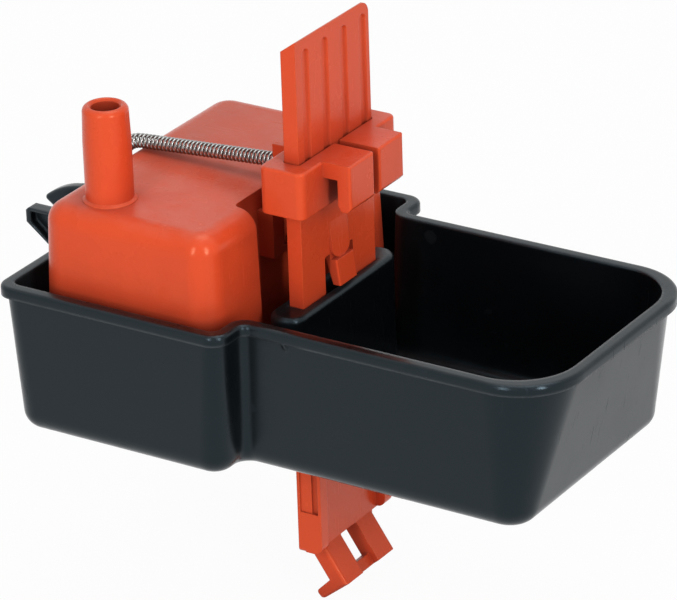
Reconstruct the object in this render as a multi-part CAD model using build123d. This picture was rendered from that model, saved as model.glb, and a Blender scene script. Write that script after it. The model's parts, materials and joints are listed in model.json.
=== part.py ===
"""Automatic float drinker that hangs through an opening in a wire cage wall.

The wide reservoir stays outside the cage and carries a float valve under a
moulded housing. The narrow bowl reaches inside. A slide plate runs down
through a chimney in the trough floor: hooks on its bracket sit on one cage
wire and the foot below the trough catches another. A tension spring straps
the housing between the bracket and a hook on the rear wall.

Millimetres. +X points to the drinking bowl, +Y across, +Z up. The origin is
on the centre line, at the step between reservoir and bowl, level with the rim.
"""

import os
from math import acos, atan2, cos, radians, sin, tan

from build123d import *

# ---------------------------------------------------------------- trough
RESERVOIR_LENGTH = 72.0
BOWL_LENGTH = 91.4
BOWL_WIDTH = 82.0
SHOULDER = 11.0  # the reservoir is wider than the bowl by this on each side
TROUGH_DEPTH = 43.0
TROUGH_WALL = 2.2
TROUGH_FLOOR = 2.5
SIDE_DRAFT = 2.0  # degrees
NOSE_DRAFT = 12.3  # degrees, the sloping end wall of the bowl
RIM_HEIGHT = 3.0
RIM_OVERHANG = 1.2
RIM_EDGE_RADIUS = 1.0
NOSE_RADIUS = 19.0
NOSE_TAPER = 0.28  # taken off the nose radius for each millimetre of depth
CORNER_RADIUS = 5.0
CORNER_GROWTH = 0.045  # added to the corner radius for each millimetre of depth
STEP_RADIUS = 2.4
BOTTOM_RADIUS = 5.4
FLOOR_EDGE_RADIUS = 3.2

CATCH_X = 11.6  # small teeth behind which the upright cage wires click
CATCH_WIDTH = 1.3
CATCH_HEIGHT = 4.0

# ---------------------------------------------------------------- chimney
CHIMNEY_TOP = -4.0
CHIMNEY_END = 8.3  # beyond the slide's edge on each side
CHIMNEY_WALL = 3.0  # beyond the slide's faces
CHIMNEY_EDGE_RADIUS = 1.4
CHIMNEY_SKIN = 2.0  # wall left around the cored-out ends

# ---------------------------------------------------------------- rear hook
TINE_REACH = 20.5
TINE_TIP_HEIGHT = 4.2
TINE_WIDTH = 3.9
TINE_SPACING = 12.2
TINE_RISE = 1.2  # top of the near tine above the rim
TINE_SLOPE = 38.0  # degrees, the gusset under each tine
TINE_CHAMFER = 0.7
TINE_POCKET = 2.4  # depth of the hollow in the near tine's side
TINE_BORDER = 0.8  # left above that hollow
TINE_PLINTH = 1.5  # left below it and at its tip
HORN_UNDER = 2.0  # underside of the far tine's tip, below the rim
HORN_RISE = 5.2  # the far tine arches up to this above the rim
HORN_CREST = 0.8  # its last rise, from the end of the arch to the wall
HORN_RUN = 9.0  # the arch's length past the near tine's tip
HORN_TIP = 3.0  # the far tine reaches this far beyond the near one
HORN_BULGE = 1.0
HORN_TIP_RADIUS = 1.0
HORN_EDGE_RADIUS = 1.0
SPRING_BAR_BACK = 5.4  # cross bar behind the rear wall
SPRING_BAR_Z = -2.0

# ---------------------------------------------------------------- slide
SLIDE_X = 2.0
SLIDE_WIDTH = 36.0
SLIDE_THICKNESS = 4.4
TONGUE_LENGTH = 33.7  # finger grip above the bracket
SLIDE_BELOW = 34.4  # below the trough's underside
SLIDE_CLEARANCE = 0.4
SLIDE_UP = 8.0
TONGUE_BEVEL = 2.8  # the top slopes down to the back by this much
TONGUE_LIP = 0.6  # level strip left at the front of the top
TONGUE_NEAR_RADIUS = 0.8
TONGUE_FAR_RADIUS = 3.4
FLUTE_COUNT = 4
FLUTE_WIDTH = 3.4
FLUTE_PITCH = 9.3
FLUTE_SHIFT = 0.8  # the row of flutes sits a little off centre
FLUTE_DEPTH = 0.7
FLUTE_MARGIN = 2.9  # plain border above the flutes
FLUTE_LENGTH = 36.0
SNAP_WINDOW = 14.0  # opening in the plate round the springy catch
SNAP_WINDOW_ABOVE = 10.4  # from the chimney's top up to the window's
SNAP_WINDOW_BELOW = 5.0
SNAP_WINDOW_RADIUS = 0.8
SNAP_WIDTH = 8.6
SNAP_ROOT = 9.0  # the catch leaves the plate this far above the window
SNAP_LEAF = 1.6  # thickness of the springy leaf
SNAP_NECK = 1.1  # the nose stands this proud of the plate
SNAP_NOSE_RADIUS = 3.2
SNAP_PROUD = 2.9
SNAP_LEAN = 1.0  # the pad's face leans out by this
SNAP_EDGE_RADIUS = 0.5
SNAP_PAD_LENGTH = 7.2
SNAP_PAD_FOOT = 2.2  # thickness of the pad's lower end
SNAP_STOP_GAP = 1.6  # from the pad's foot to the chimney
RIB_HEIGHT = 3.0
RIB_WIDTH = 3.6
RIB_STOP_GAP = 0.6  # left under the trough floor with the slide right up
RIB_STEP = 12.4  # the sides are plain for this length above the plate's end
RIB_RECESS = 0.4  # the sides step in by this above it
RIB_BORDER = 0.9
GROOVE_WIDTH = 2.0
GROOVE_DEPTH = 1.0
RIB_TOE_RADIUS = 2.6
PLATE_CORNER_RADIUS = 1.4

# ---------------------------------------------------------------- foot hook
FOOT_WIDTH = 24.8
FOOT_LEG_SLOPE = 34.5  # degrees forward of plumb
FOOT_LEG_LENGTH = 12.3
FOOT_CROOK = 9.0  # inner length of the leg, down to the crook
FOOT_TOE_SLOPE = 44.5  # degrees back of plumb
FOOT_TOE_LENGTH = 6.2
FOOT_TOE_THICKNESS = 2.9
FOOT_WINDOW_WIDTH = 8.0
FOOT_WINDOW_LENGTH = 9.2
FOOT_RELIEF = 1.9  # the cross bar stands this far back from the two legs
FOOT_EDGE_RADIUS = 1.0

# ---------------------------------------------------------------- bracket
BRACKET_LIFT = 1.3  # above the housing
BRACKET_HEIGHT = 13.2
BRACKET_WIDTH = 47.2
BRACKET_BACK = 6.9  # from the slide's middle plane
BRACKET_FRONT = 6.6
BRACKET_CORNER_RADIUS = 2.2
BRACKET_EDGE_RADIUS = 0.8
LUG_EDGE_RADIUS = 0.7
LUG_WIDTH = 12.0
LUG_GAP = 2.6
LUG_FINGER = 3.9
LUG_ROOF = 4.4
WIRE_CHANNEL = 4.4
KEY_NECK = 8.6
KEY_HEAD = 14.6
KEY_HEAD_THICKNESS = 2.3
KEY_LENGTH = 16.7
KEY_CLEARANCE = 0.3
EYE_WIDTH = 5.0
EYE_HEIGHT = 4.6  # bar above the bracket's underside
EYE_BACK = 4.0  # bar behind the bracket's rear face

# ---------------------------------------------------------------- housing
HOUSING_REAR_GAP = 10.5  # from the trough's rim, at the housing's top
HOUSING_SIDE_GAP = 7.9
HOUSING_FRONT = -8.0
HOUSING_TOP = 22.7
SKIRT_GAP = 10.5  # above the trough's floor, where the water passes
LEG_LAP = 6.0  # the legs run this far up inside the skirt
HOUSING_WALL = 2.2
HOUSING_DRAFT = 1.6  # degrees, wider towards the skirt
HOUSING_CORNER_RADIUS = 7.0
HOUSING_EDGE_RADIUS = 5.6
RECESS_WIDTH = 41.6
RECESS_DEPTH = 7.0
RAIL_THICKNESS = 2.0
LEG_LENGTH = 9.0
LEG_THICKNESS = 2.4

# ---------------------------------------------------------------- nipple and valve
NIPPLE_FROM_BACK = 15.0  # of the housing
NIPPLE_FROM_SIDE = 12.1
NIPPLE_RADIUS = 6.5
NIPPLE_TIP_RADIUS = 6.15
NIPPLE_TAPER = 10.0  # length over which the tail narrows to its tip
NIPPLE_BORE = 3.8
NIPPLE_LENGTH = 26.9  # above the housing
NIPPLE_LIP = 1.7
NIPPLE_MOUTH = 0.7
NIPPLE_FLARE = 0.8
BOSS_RADIUS = 8.0
BOSS_LENGTH = 18.4
CHAMBER_RADIUS = 5.2
CHAMBER_ROOF = 2.3
SEAT_LENGTH = 6.6
NOZZLE_RADIUS = 2.4
NOZZLE_LENGTH = 1.4
ORIFICE_RADIUS = 1.5
O_RING_SECTION = 0.8  # radius of the ring's section
PRESS_GAP = 0.05
GUIDE_HEIGHT = 4.6
STEM_RADIUS = 2.4
STEM_HEAD_RADIUS = 4.1
STEM_HEAD_HEIGHT = 3.0
STEM_CLEARANCE = 0.08
PAD_RADIUS = 3.2
PAD_THICKNESS = 2.0
PAD_PROUD = 0.6
SHUT_GAP = 0.05  # pad to nozzle with the float right up

# ---------------------------------------------------------------- float
FLOAT_TRAVEL = 9.0  # degrees from hanging to shut
PIVOT_LEVER = 7.0  # from the pivot to the valve stem
PIVOT_DROP = 8.0  # below the valve boss
PIN_RADIUS = 1.5
PIN_CLEARANCE = 0.05
EAR_RADIUS = 2.8
EAR_THICKNESS = 2.2
ARM_WIDTH = 8.0
ARM_HEIGHT = 5.0
ARM_SIDE_CLEARANCE = 0.35
ARM_END = 8.0  # beyond the float's screw
ARM_POCKET_MARGIN = 6.5  # solid left beside the stem and the screw
ARM_POCKET_DEPTH = 2.5
ARM_FLANGE = 1.2
FLOAT_REAR_ROOM = 4.5  # inside the housing's rear face
FLOAT_FRONT_ROOM = 5.0  # behind the recess
FLOAT_SIDE_ROOM = 12.1
FLOAT_FROM_VALVE = 18.0
FLOAT_FLOOR_GAP = 12.0  # above the trough's floor, with the float right up
FLOAT_WALL = 1.3
FLOAT_CORNER_RADIUS = 5.0
SCREW_RADIUS = 2.0
SCREW_HEAD_RADIUS = 3.6
SCREW_HEAD_HEIGHT = 2.4
SCREW_END_LIFT = 7.0  # above the float's underside
SCREW_BORE_LIFT = 6.0
LID_BOSS_LIFT = 4.0
LID_BOSS_WALL = 2.2
NUT_FLATS = 7.0
NUT_SPACE = 2.2  # between the arm and the float's lid
CLIP_THICKNESS = 0.7
CLIP_RADIUS = 2.7

# ---------------------------------------------------------------- spring
SPRING_RADIUS = 2.15
SPRING_BORE = 1.3
SPRING_GAP = 0.15  # between the coils and the housing's rounded edge
SPRING_WIRE = 0.42
BAR_RADIUS = 1.3  # the moulded bars that its end loops hang on
LOOP_RADIUS = 2.3
LOOP_STAND = 1.95  # from a bar's middle to the first coil
LOOP_ROOM = 3.4

# Sizes and places worked out from the ones above.
TAN_SIDE = tan(radians(SIDE_DRAFT))
TAN_NOSE = tan(radians(NOSE_DRAFT))
RESERVOIR_WIDTH = BOWL_WIDTH + 2 * SHOULDER
FLOOR_TOP = -TROUGH_DEPTH + TROUGH_FLOOR
TINE_TIP_X = -RESERVOIR_LENGTH - TINE_REACH
SPRING_BAR_X = -RESERVOIR_LENGTH - SPRING_BAR_BACK
CHIMNEY_LENGTH = SLIDE_WIDTH + 2 * CHIMNEY_END
CHIMNEY_THICKNESS = SLIDE_THICKNESS + 2 * CHIMNEY_WALL

HOUSING_BACK = -RESERVOIR_LENGTH + HOUSING_REAR_GAP
HOUSING_WIDTH = RESERVOIR_WIDTH - 2 * HOUSING_SIDE_GAP
HOUSING_SKIRT = FLOOR_TOP + SKIRT_GAP
RECESS_FLOOR = HOUSING_FRONT - RECESS_DEPTH
KEY_BOTTOM = HOUSING_TOP - KEY_LENGTH
NIPPLE_X = HOUSING_BACK + NIPPLE_FROM_BACK
NIPPLE_Y = -HOUSING_WIDTH / 2 + NIPPLE_FROM_SIDE
NIPPLE_TOP = HOUSING_TOP + NIPPLE_LENGTH
CHAMBER_TOP = HOUSING_TOP - CHAMBER_ROOF
BOSS_BOTTOM = CHAMBER_TOP - BOSS_LENGTH

SEAT_BOTTOM = CHAMBER_TOP - SEAT_LENGTH
NOZZLE_Z = SEAT_BOTTOM - NOZZLE_LENGTH
PIVOT_Y = NIPPLE_Y - PIVOT_LEVER
PIVOT_Z = BOSS_BOTTOM - PIVOT_DROP
STEM_LIFT = PIVOT_LEVER * sin(radians(FLOAT_TRAVEL))
PAD_TOP = NOZZLE_Z - STEM_LIFT - SHUT_GAP
FLOAT_BACK = HOUSING_BACK + FLOAT_REAR_ROOM
FLOAT_LENGTH_X = RECESS_FLOOR - FLOAT_FRONT_ROOM - FLOAT_BACK
FLOAT_NEAR = NIPPLE_Y + FLOAT_FROM_VALVE
FLOAT_LENGTH_Y = HOUSING_WIDTH / 2 - FLOAT_SIDE_ROOM - FLOAT_NEAR
FLOAT_SCREW_Y = FLOAT_NEAR + FLOAT_LENGTH_Y / 2
FLOAT_LOW = FLOOR_TOP + FLOAT_FLOOR_GAP
FLOAT_HEIGHT = PIVOT_Z - ARM_HEIGHT / 2 - NUT_SPACE - FLOAT_WALL - FLOAT_LOW

BRACKET_BOTTOM = HOUSING_TOP + BRACKET_LIFT
BRACKET_TOP = BRACKET_BOTTOM + BRACKET_HEIGHT
BRACKET_FACE = SLIDE_X + BRACKET_FRONT
BRACKET_REAR = SLIDE_X - BRACKET_BACK
EYE_X = BRACKET_REAR - EYE_BACK
EYE_Z = BRACKET_BOTTOM + EYE_HEIGHT
SLIDE_FRONT = SLIDE_X + SLIDE_THICKNESS / 2
SLIDE_REAR = SLIDE_X - SLIDE_THICKNESS / 2
RIB_FRONT = SLIDE_FRONT + RIB_HEIGHT
RIB_TOP = -TROUGH_DEPTH - SLIDE_UP - RIB_STOP_GAP
SLIDE_TOP = BRACKET_TOP + TONGUE_LENGTH
SLIDE_BOTTOM = -TROUGH_DEPTH - SLIDE_BELOW
SNAP_WINDOW_TOP = CHIMNEY_TOP + SNAP_WINDOW_ABOVE


def block(x0, x1, y0, y1, z0, z1):
    """Straight block between two corners."""
    size = Box(x1 - x0, y1 - y0, z1 - z0)
    return Pos((x0 + x1) / 2, (y0 + y1) / 2, (z0 + z1) / 2) * size


def turned(profile, x, y):
    """Solid of revolution about the upright line at x, y; points are (radius, height)."""
    face = make_face(Polyline(*profile, close=True))
    return Pos(x, y, 0) * revolve(Plane.XZ * face, Axis.Z)


def rod_x(radius, x0, x1, y, z):
    """Round bar along X."""
    return Pos((x0 + x1) / 2, y, z) * Rot(0, 90, 0) * Cylinder(radius, x1 - x0)


def rod_y(radius, x, y0, y1, z):
    """Round bar along Y."""
    return Pos(x, (y0 + y1) / 2, z) * Rot(90, 0, 0) * Cylinder(radius, y1 - y0)


def rod_z(radius, x, y, z0, z1):
    """Round upright bar."""
    return Pos(x, y, (z0 + z1) / 2) * Cylinder(radius, z1 - z0)


def side_profile(points, y0, y1):
    """Outline in the X-Z plane, drawn out across Y."""
    face = make_face(Polyline(*points, close=True))
    return Pos(0, y0, 0) * extrude(Plane.XZ * face, -(y1 - y0))


# ---------------------------------------------------------------- trough


def trough_plan(side_inset, nose_inset, z, skin=0.0):
    """Stepped outline of the trough at height z; corners round off a little with depth."""
    back = -RESERVOIR_LENGTH + side_inset
    step = -side_inset
    nose = BOWL_LENGTH - nose_inset
    wide = RESERVOIR_WIDTH / 2 - side_inset
    narrow = BOWL_WIDTH / 2 - side_inset
    corners = [
        (back, -wide), (step, -wide), (step, -narrow), (nose, -narrow),
        (nose, narrow), (step, narrow), (step, wide), (back, wide),
    ]
    face = make_face(Polyline(*corners, close=True))
    outer = CORNER_RADIUS - z * CORNER_GROWTH - skin
    rounds = [
        (lambda v: v.X < back + 1, outer),
        (lambda v: abs(v.X - step) < 1 and abs(v.Y) > wide - 1, outer),
        (lambda v: abs(v.X - step) < 1 and abs(v.Y) < narrow + 1, STEP_RADIUS + skin),
        (lambda v: v.X > nose - 1, NOSE_RADIUS + z * NOSE_TAPER - skin),
    ]
    for is_corner, radius in rounds:
        face = fillet(face.vertices().filter_by(is_corner), radius)
    return Pos(0, 0, z) * face


def trough_block(skin, z_top, z_bottom, edge_radius):
    """Tapered solid between two heights, skin inside the outer wall, with a soft bottom edge."""
    sections = []
    for z in (z_top, z_bottom):
        side = RIM_OVERHANG + skin - z * TAN_SIDE
        nose = RIM_OVERHANG + skin - z * TAN_NOSE
        sections.append(trough_plan(side, nose, z, skin))
    body = loft(sections, ruled=True)
    return fillet(body.edges().group_by(Axis.Z)[0], edge_radius)


def rim():
    """Flat bead round the top edge, standing a little proud of the walls."""
    ring = extrude(trough_plan(0, 0, -RIM_HEIGHT), RIM_HEIGHT)
    return fillet(ring.faces().sort_by(Axis.Z)[-1].edges(), RIM_EDGE_RADIUS)


def chimney():
    """Rounded sleeve that stands on the floor round the slide."""
    plan = RectangleRounded(CHIMNEY_THICKNESS, CHIMNEY_LENGTH, CHIMNEY_THICKNESS / 2 - 0.1)
    height = CHIMNEY_TOP + TROUGH_DEPTH
    sleeve = Pos(SLIDE_X, 0, -TROUGH_DEPTH) * extrude(plan, height)
    return fillet(sleeve.faces().sort_by(Axis.Z)[-1].edges(), CHIMNEY_EDGE_RADIUS)


def chimney_passages():
    """The slide's way through, and the cored-out ends beside it, open below."""
    gap = 2 * SLIDE_CLEARANCE
    slot_length = SLIDE_WIDTH + gap
    slot = RectangleRounded(SLIDE_THICKNESS + gap, slot_length, 0.8)
    cut = Pos(SLIDE_X, 0, -TROUGH_DEPTH - 1) * extrude(slot, TROUGH_DEPTH + 2)
    inner = slot_length / 2 + CHIMNEY_SKIN
    outer = CHIMNEY_LENGTH / 2 - CHIMNEY_SKIN
    core = RectangleRounded(CHIMNEY_THICKNESS - 2 * CHIMNEY_SKIN, outer - inner, (outer - inner) / 4)
    depth = TROUGH_DEPTH + CHIMNEY_TOP - CHIMNEY_SKIN - CHIMNEY_EDGE_RADIUS
    for side in (-1, 1):
        cut += Pos(SLIDE_X, side * (inner + outer) / 2, -TROUGH_DEPTH - 1) * extrude(core, depth + 1)
    return cut


def tine_foot(tip_z):
    """Where a tine's gusset meets the rear wall: (x inside the wall, z), for a tip at tip_z."""
    wall = -RESERVOIR_LENGTH + RIM_OVERHANG + TROUGH_WALL / 2
    return wall, tip_z - (wall - TINE_TIP_X) * tan(radians(TINE_SLOPE))


def near_tine():
    """Flat-topped tine on a gusset, hollowed from the side."""
    under = TINE_RISE - TINE_TIP_HEIGHT
    wall, foot = tine_foot(under)
    outer = -TINE_SPACING / 2 - TINE_WIDTH / 2
    profile = [
        (wall, TINE_RISE), (TINE_TIP_X + TINE_CHAMFER, TINE_RISE), (TINE_TIP_X, TINE_RISE - TINE_CHAMFER),
        (TINE_TIP_X, under), (wall, foot),
    ]
    tine = side_profile(profile, outer, outer + TINE_WIDTH)
    roof = TINE_RISE - TINE_BORDER
    pocket = [
        (-RESERVOIR_LENGTH, roof), (TINE_TIP_X + TINE_PLINTH, roof),
        (TINE_TIP_X + TINE_PLINTH, under), (-RESERVOIR_LENGTH, foot + TINE_PLINTH),
    ]
    return tine - side_profile(pocket, outer - 1, outer + TINE_POCKET)


def far_tine():
    """Round-tipped horn that arches up from the tip to the wall, on a like gusset."""
    wall, foot = tine_foot(-HORN_UNDER)
    tip = (TINE_TIP_X - HORN_TIP, -HORN_UNDER + HORN_TIP_RADIUS)
    shoulder = (TINE_TIP_X + HORN_RUN, HORN_RISE - HORN_CREST)
    crest = (wall, HORN_RISE)
    lines = SagittaArc(tip, shoulder, HORN_BULGE) + Line(shoulder, crest)
    lines += Line(crest, (wall, foot)) + Line((wall, foot), tip)
    outline = make_face(lines)
    outline = fillet(outline.vertices().sort_by(Axis.X)[0], HORN_TIP_RADIUS)
    inner = TINE_SPACING / 2 - TINE_WIDTH / 2
    horn = Pos(0, inner, 0) * extrude(Plane.XZ * outline, -TINE_WIDTH)
    rims = horn.edges().filter_by(lambda e: abs((e @ 0).Y - (e @ 1).Y) < 0.1 and (e @ 0.5).X < wall - 1)
    return fillet(rims.filter_by(lambda e: (e @ 0.5).Z > 0), HORN_EDGE_RADIUS)


def rear_hook():
    """The two tines behind the rear wall and the bar between them that holds the spring."""
    reach = TINE_SPACING / 2
    return near_tine() + far_tine() + rod_y(BAR_RADIUS, SPRING_BAR_X, -reach, reach, SPRING_BAR_Z)


def wire_catches():
    """A small ramped tooth under the rim on each side of the bowl."""
    wall = BOWL_WIDTH / 2 - RIM_OVERHANG
    teeth = None
    for side in (-1, 1):
        ramp = [
            (side * (wall - 1), -RIM_HEIGHT), (side * (wall + RIM_OVERHANG), -RIM_HEIGHT),
            (side * (wall - 1), -RIM_HEIGHT - CATCH_HEIGHT),
        ]
        face = Plane.YZ * make_face(Polyline(*ramp, close=True))
        tooth = Pos(CATCH_X, 0, 0) * extrude(face, CATCH_WIDTH)
        teeth = tooth if teeth is None else teeth + tooth
    return teeth


def trough():
    shell = trough_block(0, 0, -TROUGH_DEPTH, BOTTOM_RADIUS)
    shell += rim()
    shell -= trough_block(TROUGH_WALL, 1, FLOOR_TOP, FLOOR_EDGE_RADIUS)
    shell += chimney()
    shell -= chimney_passages()
    return shell + rear_hook() + wire_catches()


# ---------------------------------------------------------------- housing


def housing_plan(skin, z):
    """Rounded rectangle of the housing at height z, skin inside its outer face."""
    grow = (HOUSING_TOP - z) * tan(radians(HOUSING_DRAFT)) - skin
    length = HOUSING_FRONT - HOUSING_BACK + 2 * grow
    width = HOUSING_WIDTH + 2 * grow
    plan = RectangleRounded(length, width, HOUSING_CORNER_RADIUS - skin)
    return Pos((HOUSING_FRONT + HOUSING_BACK) / 2, 0, z) * plan


def housing_block(skin, z_top, z_bottom, edge_radius):
    body = loft([housing_plan(skin, z_top), housing_plan(skin, z_bottom)], ruled=True)
    return fillet(body.faces().sort_by(Axis.Z)[-1].edges(), edge_radius)


def recess(skin):
    """Upright channel in the housing's front, where the bracket's key stands."""
    half = RECESS_WIDTH / 2 + skin
    low = HOUSING_SKIRT - 1
    channel = block(RECESS_FLOOR - skin, HOUSING_FRONT + 5, -half, half, low, HOUSING_TOP + 1)
    return fillet(channel.edges().filter_by(Axis.Z).group_by(Axis.X)[0], 2.0 + skin)


def nipple():
    """Hose tail with a rounded tip and a small flare at its root, and the valve boss under it."""
    root = HOUSING_TOP - HOUSING_WALL
    flare = NIPPLE_RADIUS + NIPPLE_FLARE
    body = turned([
        (0, root), (flare, root), (flare, HOUSING_TOP + 0.2), (NIPPLE_RADIUS, HOUSING_TOP + NIPPLE_FLARE),
        (NIPPLE_RADIUS, NIPPLE_TOP - NIPPLE_TAPER), (NIPPLE_TIP_RADIUS, NIPPLE_TOP), (0, NIPPLE_TOP),
    ], NIPPLE_X, NIPPLE_Y)
    body = fillet(body.faces().sort_by(Axis.Z)[-1].edges(), NIPPLE_LIP)
    return body + rod_z(BOSS_RADIUS, NIPPLE_X, NIPPLE_Y, BOSS_BOTTOM, HOUSING_TOP - 1)


def water_way():
    """Bore of the hose tail with a rounded mouth, and the valve chamber below it."""
    mouth = NIPPLE_BORE + NIPPLE_MOUTH
    bore = turned([
        (0, CHAMBER_TOP - 1), (NIPPLE_BORE, CHAMBER_TOP - 1), (NIPPLE_BORE, NIPPLE_TOP - NIPPLE_MOUTH),
        (mouth - 0.2, NIPPLE_TOP - 0.2), (mouth + 0.4, NIPPLE_TOP + 0.1), (0, NIPPLE_TOP + 0.1),
    ], NIPPLE_X, NIPPLE_Y)
    return bore + rod_z(CHAMBER_RADIUS, NIPPLE_X, NIPPLE_Y, BOSS_BOTTOM - 1, CHAMBER_TOP)


def pivot_ears():
    """Two ears under the valve boss that carry the float arm's pin."""
    inner = ARM_WIDTH / 2 + ARM_SIDE_CLEARANCE
    outer = inner + EAR_THICKNESS
    ears = None
    for side in (-1, 1):
        x0, x1 = sorted((NIPPLE_X + side * inner, NIPPLE_X + side * outer))
        ear = rod_x(EAR_RADIUS, x0, x1, PIVOT_Y, PIVOT_Z)
        ear += block(x0, x1, PIVOT_Y - EAR_RADIUS, PIVOT_Y + EAR_RADIUS, PIVOT_Z, BOSS_BOTTOM)
        ear += block(x0, x1, PIVOT_Y - 1, NIPPLE_Y, BOSS_BOTTOM - 2, BOSS_BOTTOM + 4)
        ears = ear if ears is None else ears + ear
    hole = rod_x(PIN_RADIUS + PIN_CLEARANCE, NIPPLE_X - outer - 1, NIPPLE_X + outer + 1, PIVOT_Y, PIVOT_Z)
    return ears - hole


def key_rails():
    """Two hooked rails on the recess floor that hold the bracket's T-shaped key."""
    neck = KEY_NECK / 2 + KEY_CLEARANCE
    head = KEY_HEAD / 2 + KEY_CLEARANCE
    lip = RECESS_FLOOR + KEY_CLEARANCE + KEY_HEAD_THICKNESS + KEY_CLEARANCE
    low, high = KEY_BOTTOM - 2, HOUSING_TOP - HOUSING_EDGE_RADIUS
    rails = None
    for side in (-1, 1):
        y0, y1 = sorted((side * head, side * (head + RAIL_THICKNESS)))
        rail = block(RECESS_FLOOR - 0.5, lip + RAIL_THICKNESS, y0, y1, low, high)
        y0, y1 = sorted((side * neck, side * (head + RAIL_THICKNESS)))
        rail += block(lip, lip + RAIL_THICKNESS, y0, y1, low, high)
        rails = rail if rails is None else rails + rail
    seat = head + RAIL_THICKNESS
    return rails + block(RECESS_FLOOR - 0.5, lip + RAIL_THICKNESS, -seat, seat, low, KEY_BOTTOM)


def housing_legs():
    """Angle-shaped legs in the skirt's corners; water passes between them."""
    low = FLOOR_TOP
    high = HOUSING_SKIRT + LEG_LAP
    grow = (HOUSING_TOP - HOUSING_SKIRT) * tan(radians(HOUSING_DRAFT)) - HOUSING_WALL
    x_low, x_high = HOUSING_BACK - grow, HOUSING_FRONT + grow
    y_out = HOUSING_WIDTH / 2 + grow
    inset = 2.6
    legs = None
    for x_wall, x_dir in ((x_low, 1), (x_high, -1)):
        for side in (-1, 1):
            x0, x1 = sorted((x_wall + x_dir * inset, x_wall + x_dir * (inset + LEG_LENGTH)))
            y0, y1 = sorted((side * (y_out - inset), side * (y_out - inset - LEG_THICKNESS)))
            leg = block(x0, x1, y0, y1, low, high)
            leg += block(x0, x1, min(y0, side * (y_out + 0.5)), max(y1, side * (y_out + 0.5)),
                         HOUSING_SKIRT + 1, high)
            legs = leg if legs is None else legs + leg
    return legs


def float_housing():
    shell = housing_block(0, HOUSING_TOP, HOUSING_SKIRT, HOUSING_EDGE_RADIUS)
    cavity = housing_block(HOUSING_WALL, HOUSING_TOP - HOUSING_WALL, HOUSING_SKIRT - 1,
                           HOUSING_EDGE_RADIUS - HOUSING_WALL)
    shell -= cavity - recess(HOUSING_WALL)
    shell -= recess(0)
    shell += nipple() + pivot_ears() + key_rails() + housing_legs()
    return shell - water_way()


# ---------------------------------------------------------------- valve


def valve_seat():
    """Pushed-in bush with a groove for its ring and the nozzle that the pad shuts."""
    radius = CHAMBER_RADIUS - PRESS_GAP
    groove = CHAMBER_RADIUS - PRESS_GAP - 2 * O_RING_SECTION
    middle = CHAMBER_TOP - SEAT_LENGTH / 2
    top = CHAMBER_TOP - PRESS_GAP
    half = O_RING_SECTION + 0.15
    return turned([
        (ORIFICE_RADIUS, NOZZLE_Z), (NOZZLE_RADIUS, NOZZLE_Z), (NOZZLE_RADIUS + 0.8, SEAT_BOTTOM),
        (radius, SEAT_BOTTOM), (radius, middle - half), (groove, middle - half),
        (groove, middle + half), (radius, middle + half), (radius, top),
        (ORIFICE_RADIUS + 1.5, top), (ORIFICE_RADIUS, top - 2.5),
    ], NIPPLE_X, NIPPLE_Y)


def seat_ring():
    """Rubber ring in the bush's groove."""
    ring = Torus(CHAMBER_RADIUS - PRESS_GAP - O_RING_SECTION, O_RING_SECTION)
    return Pos(NIPPLE_X, NIPPLE_Y, CHAMBER_TOP - SEAT_LENGTH / 2) * ring


def stem_guide():
    """Slotted bush in the boss's mouth that steers the stem and lets the water out."""
    z0 = BOSS_BOTTOM
    z1 = z0 + GUIDE_HEIGHT
    guide = rod_z(CHAMBER_RADIUS - PRESS_GAP, NIPPLE_X, NIPPLE_Y, z0, z1)
    guide -= rod_z(STEM_RADIUS + STEM_CLEARANCE, NIPPLE_X, NIPPLE_Y, z0 - 1, z1 + 1)
    slot = block(STEM_RADIUS + 1.2, CHAMBER_RADIUS + 1, -1.2, 1.2, z0 - 1, z1 + 1)
    for turn in range(4):
        guide -= Pos(NIPPLE_X, NIPPLE_Y, 0) * Rot(0, 0, 90 * turn + 45) * slot
    return guide


def arm_top(y):
    """Height of the hanging arm's upper face above the pivot line, at distance y."""
    slope = radians(FLOAT_TRAVEL)
    return PIVOT_Z + (ARM_HEIGHT / 2) / cos(slope) - (y - PIVOT_Y) * tan(slope)


def valve_stem():
    """Plunger with a cup for the pad and a domed foot on the arm."""
    head_top = PAD_TOP - PAD_PROUD
    head_low = head_top - STEM_HEAD_HEIGHT
    cup = PAD_TOP - PAD_THICKNESS
    foot = arm_top(NIPPLE_Y) + 0.45
    return turned([
        (0, foot), (STEM_RADIUS - 0.9, foot), (STEM_RADIUS, foot + 0.9),
        (STEM_RADIUS, head_low), (STEM_HEAD_RADIUS, head_low), (STEM_HEAD_RADIUS, head_top),
        (PAD_RADIUS + PRESS_GAP, head_top), (PAD_RADIUS + PRESS_GAP, cup), (0, cup),
    ], NIPPLE_X, NIPPLE_Y)


def stem_pad():
    """Rubber pad that shuts the nozzle."""
    return rod_z(PAD_RADIUS, NIPPLE_X, NIPPLE_Y, PAD_TOP - PAD_THICKNESS, PAD_TOP)


# ---------------------------------------------------------------- float, drawn shut


def hanging(piece):
    """Turns a piece drawn with the valve shut down to where an empty trough leaves it."""
    there = Pos(0, PIVOT_Y, PIVOT_Z) * Rot(-FLOAT_TRAVEL, 0, 0) * Pos(0, -PIVOT_Y, -PIVOT_Z)
    return there * piece


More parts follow.
